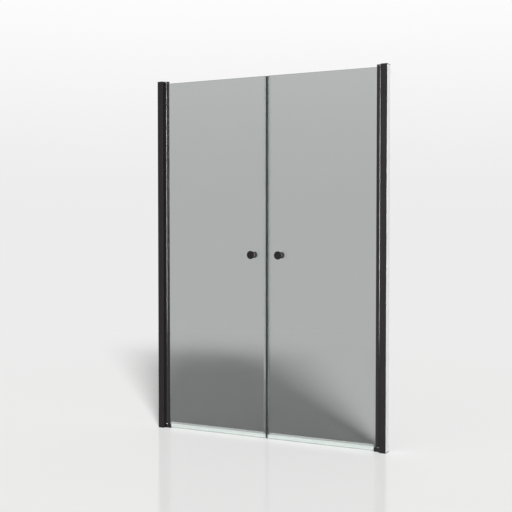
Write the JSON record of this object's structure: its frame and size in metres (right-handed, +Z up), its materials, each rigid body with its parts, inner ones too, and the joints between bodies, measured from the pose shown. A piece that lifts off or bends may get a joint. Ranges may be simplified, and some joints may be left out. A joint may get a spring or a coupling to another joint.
{
  "type": "double shower door",
  "caption": "Niche shower door with glass leaves that swing both ways on black wall posts and meet at magnet strips, with round knobs.",
  "frame": {"origin": "on the floor, midway between the two walls, in the middle plane of the closed glass; the middle of the bounding box lies 6.8 mm in front of it, because the knobs stand out further than the posts", "axes": "+X along the door to the right wall, +Y into the shower, +Z up"},
  "size_m": [1.39, 0.0684, 2],
  "materials": {
    "black_profile": "satin",
    "channel_metal": "satin",
    "black_casting": "satin",
    "black_knob": "satin",
    "steel": "satin",
    "black_plastic": "matte",
    "bearing_plastic": "satin",
    "black_rubber": "matte",
    "black_magnet_seal": "satin",
    "magnet_core": "matte",
    "clear_seal": "gloss",
    "tinted_glass": "polished"
  },
  "bodies": {
    "frame": {"left_wall_channel": "channel_metal", "left_post_profile": "black_profile", "left_hinge_strip": "black_rubber", "left_adjusting_screws": "steel", "left_bracket_screws": "steel", "left_screw_caps": "black_plastic", "left_foot_block": "black_casting", "left_top_bracket": "black_casting", "left_top_pivot_pin": "steel", "left_foot_pivot_pin": "steel", "left_thrust_washer": "bearing_plastic", "right_wall_channel": "channel_metal", "right_post_profile": "black_profile", "right_hinge_strip": "black_rubber", "right_adjusting_screws": "steel", "right_bracket_screws": "steel", "right_screw_caps": "black_plastic", "right_foot_block": "black_casting", "right_top_bracket": "black_casting", "right_top_pivot_pin": "steel", "right_foot_pivot_pin": "steel", "right_thrust_washer": "bearing_plastic"},
    "left_leaf": {"left_leaf_profile": "black_profile", "left_knob_stud": "steel", "left_top_end_cap": "black_plastic", "left_bottom_end_cap": "black_plastic", "left_top_bush": "bearing_plastic", "left_bottom_bush": "bearing_plastic", "left_knob_sleeve": "bearing_plastic", "left_knob_washers": "clear_seal", "left_glazing_gasket": "black_rubber", "left_magnet_strip": "black_magnet_seal", "left_magnet_bar": "magnet_core", "left_magnet_clip": "clear_seal", "left_bottom_seal": "clear_seal", "left_glass": "tinted_glass", "left_outer_knob": "black_knob", "left_inner_knob": "black_knob"},
    "right_leaf": {"right_leaf_profile": "black_profile", "right_knob_stud": "steel", "right_top_end_cap": "black_plastic", "right_bottom_end_cap": "black_plastic", "right_top_bush": "bearing_plastic", "right_bottom_bush": "bearing_plastic", "right_knob_sleeve": "bearing_plastic", "right_knob_washers": "clear_seal", "right_glazing_gasket": "black_rubber", "right_magnet_strip": "black_magnet_seal", "right_magnet_bar": "magnet_core", "right_magnet_clip": "clear_seal", "right_bottom_seal": "clear_seal", "right_glass": "tinted_glass", "right_outer_knob": "black_knob", "right_inner_knob": "black_knob"}
  },
  "joints": [
    {"name": "left_swing", "type": "hinge", "parent": "frame", "child": "left_leaf", "pos_m": [-0.649, 0, 0], "axis": [0, 0, -1], "range_deg": [-90, 90]},
    {"name": "right_swing", "type": "hinge", "parent": "frame", "child": "right_leaf", "pos_m": [0.649, 0, 0], "axis": [0, 0, 1], "range_deg": [-90, 90]}
  ]
}
